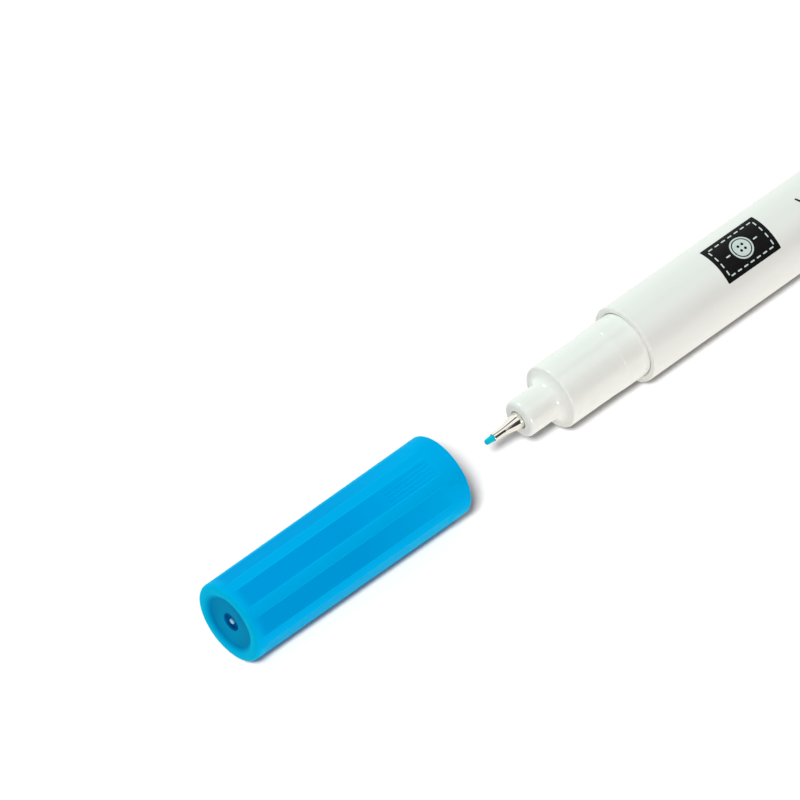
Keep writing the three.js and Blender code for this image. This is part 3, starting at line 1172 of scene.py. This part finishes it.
@dataclass
class Cap:
    """The blue cap: eight long flats that run out into a round collar at the mouth.

    Depths count from the mouth towards the closed end, which points to -X.
    """

    axis: Axis
    mouth: float
    closed_end: float
    open_radius: float = 4.96 * MM
    draft: float = 0.13 * MM
    mouth_edge: float = 0.3 * MM
    mouth_chamfer: float = 0.25 * MM
    end_edge: float = 0.45 * MM
    collar_length: float = 2.2 * MM
    flat_count: int = 8
    flat_half: float = math.radians(15)
    first_flat: float = math.radians(16.6)
    runout: float = 1.3 * MM
    ridge_blend: float = 0.035 * MM
    rim_radius: float = 3.83 * MM
    recess_depth: float = 0.4 * MM
    recess_lip: float = 0.76 * MM
    corner_shade: float = 0.3
    dimple_radius: float = 1.1 * MM
    dimple_depth: float = 0.5 * MM
    dimple_edge: float = 0.08 * MM
    gate_radius: float = 0.34 * MM
    gate_height: float = 0.42 * MM
    bore: float = 4.04 * MM
    seat_bore: float = 3.98 * MM
    seat_depth: float = 13.65 * MM
    ledge: float = 0.35 * MM
    end_wall: float = 1.1 * MM
    rib_count: int = 5
    rib_pitch: float = 0.48 * MM
    rib_width: float = 0.24 * MM
    rib_height: float = 0.05 * MM
    rib_length: float = 6.6 * MM
    rib_setback: float = 0.65 * MM
    rib_flank: float = 0.1 * MM
    flat_blend: float = math.radians(1.6)
    ridge_half: float = math.radians(0.9)
    # Towards the mouth the flats are painted paler for light through the empty bore, fading out between
    # these depths.
    bore_light_start: float = 1.5 * MM
    bore_light_end: float = 15.5 * MM

    @property
    def length(self) -> float:
        """Length from the mouth to the closed end's rim."""
        return self.mouth - self.closed_end

    def land(self, depth: float) -> float:
        """Radius of the round lands at a depth."""
        return self.open_radius - self.draft * depth / self.length

    def flat_share(self, depth: float) -> float:
        """How far the flats are pressed in at a depth.

        Args:
            depth: depth from the mouth.

        Returns:
            A share from 0, on the collar and at the end's edge, to 1.
        """
        from_collar = (depth - self.collar_length) / self.runout
        from_end = (self.length - self.end_edge - depth) / self.runout
        return smoothstep(min(from_collar, from_end))

    def off_flat(self, angle: float) -> tuple[int, float]:
        """Finds the nearest flat.

        Args:
            angle: an angle round the axis.

        Returns:
            The flat's number, and the angle from its middle.
        """
        turn = 2 * math.pi / self.flat_count
        number = round((angle - self.first_flat) / turn)
        return number % self.flat_count, angle - self.first_flat - number * turn

    def rib_rise(self, depth: float, across: float) -> float:
        """Height of the fine ribs on the first flat.

        Args:
            depth: depth from the mouth.
            across: distance from the flat's middle line.

        Returns:
            The height, which is 0 beside and between the ribs.
        """
        start = self.collar_length + self.rib_setback
        inside = min(depth - start, start + self.rib_length - depth)
        middle = (self.rib_count - 1) / 2
        nearest = min(max(round(across / self.rib_pitch), -middle), middle)
        side = self.rib_width / 2 - abs(across - nearest * self.rib_pitch)
        return self.rib_height * smoothstep(inside / self.rib_flank) * smoothstep(
            side / self.rib_flank + 0.5
        )

    def outside(self, x: float, radius: float, angle: float) -> float:
        """Radius of the cap at a point of its turned profile.

        Args:
            x: place along the axis.
            radius: radius of the turned profile.
            angle: angle round the axis.

        Returns:
            The radius, pulled in to the flats where the point lies on the cap's outside.
        """
        depth = self.mouth - x
        land = self.land(depth)
        share = self.flat_share(depth)
        if radius < land - HAIR or share == 0.0:
            return radius
        number, off = self.off_flat(angle)
        flat = land * math.cos(self.flat_half) / math.cos(off)
        gap = max(self.ridge_blend - abs(flat - land), 0.0) / self.ridge_blend
        pressed = min(flat, land) - gap * gap * self.ridge_blend / 4
        shaped = land + (pressed - land) * share
        if number == 0:
            shaped += self.rib_rise(depth, flat * math.sin(off)) * share
        return shaped

    def painted_light_share(self, depth: float, off: float, number: int) -> float:
        """Painted light on a flat: how much of the lands' paler blue is painted over the flat's deep blue.

        Args:
            depth: depth from the mouth.
            off: angle from the flat's middle line.
            number: the flat's number.

        Returns:
            0 where the flat keeps the colour's full depth, and more towards the mouth, where the light
            through the empty bore is painted in, and on the ribs, which are painted paler as if lit.
        """
        through = 1 - (depth - self.bore_light_start) / (self.bore_light_end - self.bore_light_start)
        start = self.collar_length + self.rib_setback
        inside = min(depth - start, start + self.rib_length - depth)
        half_width = self.rib_pitch * self.rib_count / 2
        beside = half_width - abs(off) * self.open_radius
        on_ribs = smoothstep(min(inside, beside) / self.rib_pitch) if number == 0 else 0.0
        return max(min(max(through, 0.0), 1.0), on_ribs)

    def angles(self) -> list[float]:
        """Places the mesh's corners round the axis.

        Returns:
            Angles, close together at the flats' edges and across the ribs.
        """
        edge = math.degrees(self.flat_half)
        near = [0.5, 1.0, 1.6, 2.6, 4.2, 7.0, 11.0]
        flat_side = [edge - step for step in near]
        plain = [-a for a in flat_side] + flat_side[::-1]
        ribbed = [edge * i / 26 for i in range(-26, 27)]
        land = [edge, edge + 0.5, edge + 1.2, edge + 2.5, edge + 5.0, edge + 7.5]
        land += [360 / self.flat_count - a for a in reversed(land[:-1])]
        found = []
        for number in range(self.flat_count):
            turn = math.degrees(self.first_flat) + number * 360 / self.flat_count
            found += [turn + a for a in (ribbed[1:-1] if number == 0 else sorted(plain))]
            found += [turn + a for a in land]
        return [math.radians(a) for a in found]

    def depths(self) -> list[float]:
        """Places the rings of the outside.

        Returns:
            Depths from the closed end to the mouth, close together where flats and ribs run out.
        """
        last = self.length - self.end_edge
        fade = [self.runout * i / 12 for i in range(13)]
        rib_start = self.collar_length + self.rib_setback
        rib_ends = [rib_start, rib_start + self.rib_length - self.rib_flank]
        found = {last - d for d in fade} | {self.collar_length + d for d in fade}
        for end in rib_ends:
            found |= {end + self.rib_flank * i / 4 for i in range(5)}
        rest = max(found - {last - d for d in fade})
        stop = last - self.runout
        found |= {rest + (stop - rest) * i / 10 for i in range(1, 10)}
        return sorted(found, reverse=True)

    def paint_light_and_shade(self, shell: bpy.types.Object) -> None:
        """Writes the vertex masks that paint light and shade on the cap: paler lands, highlights on the
        flats' edges, a paler rim on the closed end, shade in its recess and dimple, and a highlight on the
        gate.

        Args:
            shell: the cap's moulding.
        """
        data = shell.data
        for mask in Mask:
            data.attributes.new(mask.value, "FLOAT", "POINT")
        masks = {mask: data.attributes[mask.value].data for mask in Mask}
        last = self.length - self.end_edge
        floor = self.length - self.recess_depth
        flat_rim = self.land(last) - self.end_edge
        for i, vertex in enumerate(data.vertices):
            x, y, z = vertex.co
            angle = math.atan2(-y, z - self.axis.height)
            radius = math.hypot(y, z - self.axis.height)
            depth = self.mouth - x
            number, off = self.off_flat(angle)
            outer = radius > self.rim_radius and depth > 0.0
            share = self.flat_share(depth)
            on_flat = smoothstep((self.flat_half - abs(off)) / self.flat_blend + 0.5)
            # Painted light: the flats keep the base blue as their shade, while lands, ribs and the mouth
            # end are painted paler.
            deep = on_flat * share * (1 - self.painted_light_share(depth, off, number))
            masks[Mask.PAINTED_PALE_LAND][i].value = (1 - deep) if outer else 0.0
            # Painted highlight: a thin paler line along each flat's edges.
            near = 1 - abs(abs(off) - self.flat_half) / self.ridge_half
            masks[Mask.PAINTED_RIDGE_HIGHLIGHT][i].value = max(near, 0.0) * share if outer else 0.0
            on_end = 1.0 if radius < flat_rim and depth > floor - self.dimple_depth - MM / 2 else 0.0
            # Painted light: the closed end and its rounded edge get a paler, greener blue than the flats.
            past_edge = max(on_end, smoothstep((depth - last) / self.end_edge))
            masks[Mask.PAINTED_RIM_LIGHT][i].value = past_edge
            # Painted shade: the colour darkens inwards from the rim into the recess.
            inwards = (self.rim_radius - radius) / self.recess_lip
            masks[Mask.PAINTED_RECESS_SHADE][i].value = past_edge * smoothstep(inwards)
            # Painted shade: the dimple's floor and walls are dark, and so is the recess's corner at the
            # lip.
            below = smoothstep((floor - depth) / self.dimple_edge)
            on_lip = radius > self.rim_radius - self.recess_lip - MM / 10
            corner = self.corner_shade * smoothstep(inwards) if on_lip else 0.0
            masks[Mask.PAINTED_DIMPLE_SHADE][i].value = on_end * max(below, corner)
            # Painted highlight: the gate nub is painted a whitish blue.
            on_gate = radius < self.gate_radius * 0.95 and depth > floor - self.dimple_depth / 2
            masks[Mask.PAINTED_GATE_HIGHLIGHT][i].value = on_end if on_gate else 0.0

    def profile(self) -> Profile:
        """Draws the cap's section.

        Returns:
            Points from the gate mark round to the bore's end.
        """
        end = self.closed_end
        recess = end + self.recess_depth
        dimple = recess + self.dimple_depth
        gate = dimple - self.gate_height
        inner_bore = self.seat_bore - self.ledge
        last = self.length - self.end_edge
        shares = [1 - i / LIP_STEPS for i in range(LIP_STEPS + 1)]
        return [
            (gate, 0.0),
            (gate, self.gate_radius * 0.55),
            (gate + 0.04 * MM, self.gate_radius * 0.9),
            (dimple, self.gate_radius),
            (dimple, self.dimple_radius - self.dimple_edge),
            (dimple - self.dimple_edge, self.dimple_radius),
            (recess + self.dimple_edge, self.dimple_radius),
            (recess, self.dimple_radius + self.dimple_edge),
            *[
                (end + self.recess_depth * smoothstep(share), self.rim_radius - self.recess_lip * share)
                for share in shares
            ],
            *rounded(end + self.end_edge, self.land(last) - self.end_edge, self.end_edge, 180, 90)[:-1],
            *[(self.mouth - depth, self.land(depth)) for depth in self.depths()],
            *rounded(
                self.mouth - self.mouth_edge, self.open_radius - self.mouth_edge, self.mouth_edge, 90, 0
            ),
            (self.mouth, self.bore + self.mouth_chamfer),
            (self.mouth - self.mouth_chamfer, self.bore),
            (self.mouth - self.seat_depth, self.seat_bore),
            (self.mouth - self.seat_depth, inner_bore),
            (dimple + self.end_wall, inner_bore),
            (dimple + self.end_wall, 0.0),
        ]

    def build(self) -> bpy.types.Object:
        """Makes the cap's moulding.

        Returns:
            The moulding, which stands for its CAD node.
        """
        shell = self.axis.turn("cap_moulding", self.profile(), self.angles(), self.outside)
        self.paint_light_and_shade(shell)
        return place(
            shell, Body.CAP, BLUE_POLYPROPYLENE.material(), ["cap_shell"]
        )


@dataclass
class CapSleeve:
    """The soft cup inside the cap that closes over the nib."""

    axis: Axis
    mouth: float
    closed_end: float
    bore: float = 2.35 * MM
    wall: float = 0.6 * MM
    flange: float = 0.6 * MM
    flange_radius: float = 3.92 * MM
    seal_length: float = 3.65 * MM
    lead: float = 0.3 * MM
    end_radius: float = 1.4 * MM
    corner: float = 0.15 * MM

    def build(self) -> bpy.types.Object:
        """Makes the sleeve.

        Returns:
            The sleeve, which stands for its CAD node.
        """
        outer = self.bore + self.wall
        seal_end = self.mouth - self.seal_length
        end_outer = self.end_radius + self.wall
        profile = [
            (self.closed_end, 0.0),
            (self.closed_end, end_outer - self.corner),
            (self.closed_end + self.corner, end_outer),
            (seal_end - self.wall, outer),
            (self.mouth - self.flange, outer),
            (self.mouth - self.flange, self.flange_radius),
            (self.mouth - self.corner, self.flange_radius),
            (self.mouth, self.flange_radius - self.corner),
            (self.mouth, self.bore + self.lead),
            (self.mouth - self.lead, self.bore),
            (seal_end, self.bore),
            (self.closed_end + self.wall, self.end_radius),
            (self.closed_end + self.wall, 0.0),
        ]
        sleeve = self.axis.turn("cap_sleeve_moulding", profile, full_turn(TURNED_SIDES))
        return place(
            sleeve, Body.CAP, SOFT_POLYETHYLENE.material(), ["cap_sleeve"]
        )


# The studio


@dataclass(frozen=True)
class SoftBox:
    """A square lamp that shines at the marker from one direction."""

    name: str
    direction: tuple[float, float, float]
    level: float
    size: float
    colour: tuple[float, float, float]
    distance: float = 0.6

    def build(self, target: Vector) -> bpy.types.Object:
        """Makes the lamp.

        Args:
            target: the point that it shines at.

        Returns:
            The lamp, bright enough to show a white surface that faces it at its level.
        """
        lamp = bpy.data.lights.new(self.name, "AREA")
        lamp.shape = "SQUARE"
        lamp.size = self.size
        lamp.energy = self.level * math.pi**2 * self.distance**2
        lamp.color = self.colour
        way = Vector(self.direction).normalized()
        stand = bpy.data.objects.new(self.name, lamp)
        stand.location = target + way * self.distance
        stand.rotation_euler = way.to_track_quat("Z", "Y").to_euler()
        stand.visible_camera = False
        bpy.context.scene.collection.objects.link(stand)
        return stand


@dataclass
class Studio:
    """White sweep, soft light and the camera at the photograph's angle."""

    axis: Axis
    barrel_front: float
    floor_size: float = 3.0
    paper_seen: str = "#bcbcbc"
    paper_unseen: str = "#a9a7a3"
    paper_mirrored: str = "#fbf8f3"
    sky_level: float = 0.51
    strips: tuple[tuple[float, float], ...] = ((-14, 8), (39, 4))
    strip_reach: float = 85
    side_card: tuple[float, float, float] = (0.55, -0.757, 0.353)
    side_card_reach: float = 28
    card_edge: float = 1.5
    card_level: float = 0.05
    look_at_setback: float = 23.67 * MM
    look_at_y: float = 10.97 * MM
    camera_distance: float = 0.85
    camera_elevation: float = math.radians(48.19)
    camera_azimuth: float = math.radians(43.0)
    focal_pixels: float = 7751.0
    picture_pixels: float = 800.0
    sensor: float = 36.0

    @property
    def look_at_x(self) -> float:
        """The place along the axis that the camera looks at."""
        return self.barrel_front - self.look_at_setback

    def floor(self) -> bpy.types.Object:
        """Makes the white floor, which shows the marker's shadow close round it.

        Returns:
            The floor.
        """
        mesh = bmesh.new()
        half = self.floor_size / 2
        corners = [(-half, -half, 0), (half, -half, 0), (half, half, 0), (-half, half, 0)]
        mesh.faces.new([mesh.verts.new(corner) for corner in corners])
        floor = finish_mesh("studio_floor", mesh)
        floor.modifiers.clear()
        floor.data.materials.append(self.floor_paper())
        return floor

    def floor_paper(self) -> bpy.types.Material:
        """Paper under a strong lamp of its own: white to the camera and to mirrors.

        Returns:
            The material, which throws no more light back at the marker than white paper would.
        """
        bench = Bench("white_studio_paper")
        tree = bench.tree
        light = add_node(tree, "ShaderNodeLightPath").outputs
        seen = add_node(tree, "ShaderNodeBsdfDiffuse", {"Color": linear(self.paper_seen)}).outputs[0]
        paper = add_node(tree, "ShaderNodeBsdfDiffuse", {"Color": linear(self.paper_unseen)}).outputs[0]
        mirrored = add_node(tree, "ShaderNodeEmission", {"Color": linear(self.paper_mirrored)}).outputs[0]
        in_mirror = combine(tree, "MAXIMUM", light["Is Glossy Ray"], light["Is Transmission Ray"])
        unseen = add_node(tree, "ShaderNodeMixShader", {0: in_mirror, 1: paper, 2: mirrored}).outputs[0]
        by_camera = {0: light["Is Camera Ray"], 1: unseen, 2: seen}
        surface = add_node(tree, "ShaderNodeMixShader", by_camera).outputs[0]
        add_node(tree, "ShaderNodeOutputMaterial", {"Surface": surface})
        return bench.material

    def sky(self) -> bpy.types.World:
        """Even light all round, white to the camera, with dark cards for the metal to mirror.

        Returns:
            The world, set on the scene.
        """
        world = bpy.data.worlds.new("studio_light")
        world.use_nodes = True
        tree = world.node_tree
        tree.nodes.clear()
        light = add_node(tree, "ShaderNodeLightPath").outputs
        way = add_node(tree, "ShaderNodeTexCoord").outputs["Generated"]

        def card(middle: tuple[float, float, float], reach: float) -> bpy.types.NodeSocket:
            """Masks a round card.

            Args:
                middle: the direction of its middle.
                reach: its half width in degrees.

            Returns:
                1 on the card and 0 beside it, with a soft edge.
            """
            facing = add_node(
                tree,
                "ShaderNodeVectorMath",
                {0: way, 1: Vector(middle).normalized()},
                operation="DOT_PRODUCT",
            ).outputs["Value"]
            low, high = (math.cos(math.radians(reach + side * self.card_edge)) for side in (1, -1))
            return add_node(
                tree, "ShaderNodeMapRange", {"Value": facing, "From Min": low, "From Max": high}
            ).outputs[0]

        def strip(turn: float, half_width: float) -> bpy.types.NodeSocket:
            """Masks a long card that runs along X.

            Args:
                turn: the angle of its middle line, from +Z towards -Y.
                half_width: its half width in degrees.

            Returns:
                1 on the card and 0 beside it, with a soft edge.
            """
            across, up = math.sin(math.radians(turn)), math.cos(math.radians(turn))
            side = (0.0, -up, -across)
            off = add_node(
                tree, "ShaderNodeVectorMath", {0: way, 1: side}, operation="DOT_PRODUCT"
            ).outputs["Value"]
            away = combine(tree, "ABSOLUTE", off, 0.0)
            far, near = (math.sin(math.radians(half_width + step)) for step in (1, -1))
            inside = add_node(
                tree, "ShaderNodeMapRange", {"Value": away, "From Min": far, "From Max": near}
            ).outputs[0]
            upper = card((0.0, -across, up), self.strip_reach)
            return combine(tree, "MULTIPLY", inside, upper)

        dark_cards = card(self.side_card, self.side_card_reach)
        for turn, half_width in self.strips:
            dark_cards = combine(tree, "MAXIMUM", dark_cards, strip(turn, half_width))
        mirrored = add_node(
            tree, "ShaderNodeMapRange", {"Value": dark_cards, "To Min": 1.0, "To Max": self.card_level}
        ).outputs[0]
        lit = add_node(
            tree, "ShaderNodeMix", {0: light["Is Glossy Ray"], 2: self.sky_level, 3: mirrored}
        ).outputs[0]
        plain = combine(tree, "MAXIMUM", light["Is Camera Ray"], light["Is Transmission Ray"])
        level = add_node(tree, "ShaderNodeMix", {0: plain, 2: lit, 3: 1.0}).outputs[0]
        white = {"Color": (1.0, 1.0, 1.0, 1.0), "Strength": level}
        background = add_node(tree, "ShaderNodeBackground", white).outputs[0]
        add_node(tree, "ShaderNodeOutputWorld", {"Surface": background})
        bpy.context.scene.world = world
        return world

    def lamps(self, floor: bpy.types.Object) -> list[bpy.types.Object]:
        """The lamps for the marker, and the one that gives the floor its white and its soft shadow.

        Args:
            floor: the floor, which has a lamp of its own and gets none of the others' light.

        Returns:
            The large cool lamp behind the marker, the low one at its front right, and the floor's
            over the camera.
        """
        target = Vector((self.look_at_x, 0.0, self.axis.height))
        boxes = [
            SoftBox("back_softbox", (-0.15, 0.63, 0.76), 0.55, 0.12, (0.84, 1.0, 0.93)),
            SoftBox("front_softbox", (-0.25, -0.94, 0.2), 0.32, 0.08, (1.0, 0.98, 0.93)),
        ]
        over_camera = SoftBox(
            "floor_softbox", (-0.492, -0.326, 0.807), 2.1, 0.3, (1.0, 1.0, 1.0), distance=1.5
        )
        lamps = [box.build(target) for box in [*boxes, over_camera]]
        for lamp in lamps:
            receivers = bpy.data.collections.new(f"{lamp.name}_receivers")
            receivers.objects.link(floor)
            lamp.light_linking.receiver_collection = receivers
            state = "INCLUDE" if lamp is lamps[-1] else "EXCLUDE"
            receivers.collection_objects[0].light_linking.link_state = state
        return lamps

    def camera(self) -> bpy.types.Object:
        """Makes the camera.

        Returns:
            The camera, which looks down on the marker from the nib's side.
        """
        level_way = math.cos(self.camera_elevation)
        look = Vector(
            (
                level_way * math.sin(self.camera_azimuth),
                level_way * math.cos(self.camera_azimuth),
                -math.sin(self.camera_elevation),
            )
        )
        target = Vector((self.look_at_x, self.look_at_y, self.axis.height))
        lens = bpy.data.cameras.new("camera")
        lens.sensor_width = self.sensor
        lens.lens = self.focal_pixels * self.sensor / self.picture_pixels
        lens.clip_start = 0.01
        lens.clip_end = 20.0
        camera = bpy.data.objects.new("camera", lens)
        camera.location = target - look * self.camera_distance
        camera.rotation_euler = look.to_track_quat("-Z", "Y").to_euler()
        bpy.context.scene.collection.objects.link(camera)
        bpy.context.scene.camera = camera
        return camera

    def build(self) -> None:
        """Sets up the floor, the light and the camera."""
        self.camera()
        floor = self.floor()
        self.sky()
        self.lamps(floor)
        bpy.context.scene.view_settings.view_transform = "Standard"


def main() -> None:
    """Builds the marker round its CAD model, then the studio, and keeps both sizes."""
    logging.basicConfig(level=logging.INFO, format="%(name)s: %(message)s")
    barrel_low, barrel_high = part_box("barrel")
    section_low, section_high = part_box("grip_section")
    ferrule_low, ferrule_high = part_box("tip_ferrule")
    nib_low, nib_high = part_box("nib")
    plug_low, plug_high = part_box("rear_plug")
    cap_low, cap_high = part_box("cap_shell")
    sleeve_low, sleeve_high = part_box("cap_sleeve")
    axis = Axis(height=(barrel_low[2] + barrel_high[2]) / 2)

    Studio(axis, barrel_low[0]).build()
    barrel = Barrel(axis, barrel_low[0], barrel_high[0])
    barrel.build()
    PrintedLabel(axis, barrel).build()
    GripSection(axis, section_low[0], barrel_low[0], section_high[0]).build()
    WritingPoint(axis, ferrule_low[0], ferrule_high[0], nib_low[0], nib_high[0]).build()
    InkStore().dress()
    RearPlug(axis, plug_low[0], plug_high[0]).build()
    Cap(axis, cap_high[0], cap_low[0]).build()
    CapSleeve(axis, sleeve_high[0], sleeve_low[0]).build()


if __name__ == "__main__":
    main()
